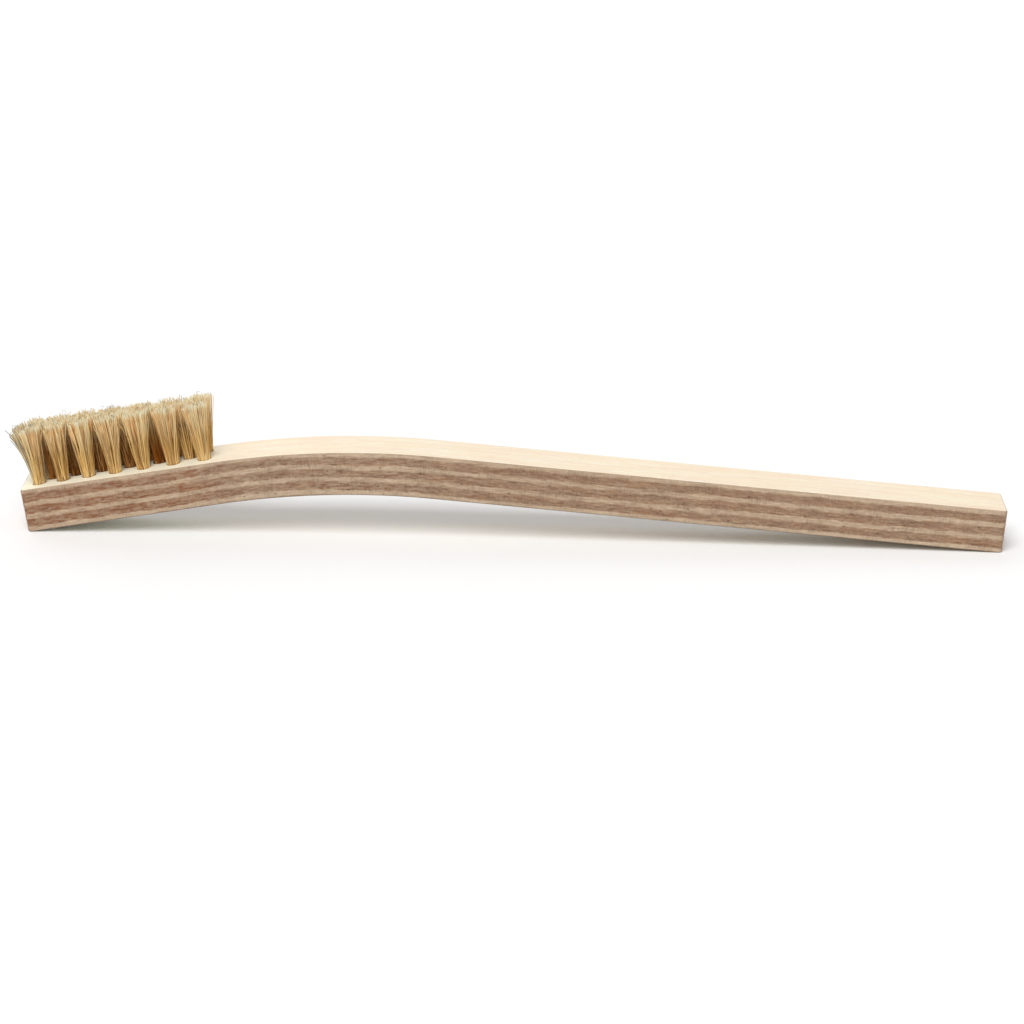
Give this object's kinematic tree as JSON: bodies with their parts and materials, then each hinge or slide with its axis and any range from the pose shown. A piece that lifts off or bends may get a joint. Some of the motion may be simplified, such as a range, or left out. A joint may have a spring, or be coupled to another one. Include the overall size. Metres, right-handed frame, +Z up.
{
  "type": "horsehair bristle brush",
  "caption": "Narrow scratch brush: staggered horsehair tufts wired into the head of a bent plywood handle, for scrubbing and dusting in tight places.",
  "frame": {"origin": "centre of the whole brush's box, bristles included, at the level of the surface that it stands on", "axes": "+X from the bristled head towards the end of the handle, +Y across the handle to its far side, +Z up; the brush stands on the two lower ends of its board with the bristles up"},
  "size_m": [0.2, 0.0126, 0.027],
  "materials": {
    "birch_long_grain": "bare, planed and sanded",
    "birch_end_grain": "bare, sawn end grain",
    "horsehair": "natural hair, cut ends",
    "anchor_wire": "drawn and rolled, bare"
  },
  "bodies": {
    "root": {"top_face_veneer": "birch_long_grain", "upper_cross_ply": "birch_end_grain", "upper_long_ply": "birch_long_grain", "core_cross_ply": "birch_end_grain", "lower_long_ply": "birch_long_grain", "lower_cross_ply": "birch_end_grain", "back_face_veneer": "birch_long_grain", "tuft_front_1": "horsehair", "tuft_front_2": "horsehair", "tuft_front_3": "horsehair", "tuft_front_4": "horsehair", "tuft_front_5": "horsehair", "tuft_front_6": "horsehair", "tuft_front_7": "horsehair", "tuft_middle_1": "horsehair", "tuft_middle_2": "horsehair", "tuft_middle_3": "horsehair", "tuft_middle_4": "horsehair", "tuft_middle_5": "horsehair", "tuft_middle_6": "horsehair", "tuft_rear_1": "horsehair", "tuft_rear_2": "horsehair", "tuft_rear_3": "horsehair", "tuft_rear_4": "horsehair", "tuft_rear_5": "horsehair", "tuft_rear_6": "horsehair", "tuft_rear_7": "horsehair", "anchor_front_1": "anchor_wire", "anchor_front_2": "anchor_wire", "anchor_front_3": "anchor_wire", "anchor_front_4": "anchor_wire", "anchor_front_5": "anchor_wire", "anchor_front_6": "anchor_wire", "anchor_front_7": "anchor_wire", "anchor_middle_1": "anchor_wire", "anchor_middle_2": "anchor_wire", "anchor_middle_3": "anchor_wire", "anchor_middle_4": "anchor_wire", "anchor_middle_5": "anchor_wire", "anchor_middle_6": "anchor_wire", "anchor_rear_1": "anchor_wire", "anchor_rear_2": "anchor_wire", "anchor_rear_3": "anchor_wire", "anchor_rear_4": "anchor_wire", "anchor_rear_5": "anchor_wire", "anchor_rear_6": "anchor_wire", "anchor_rear_7": "anchor_wire"}
  },
  "joints": []
}
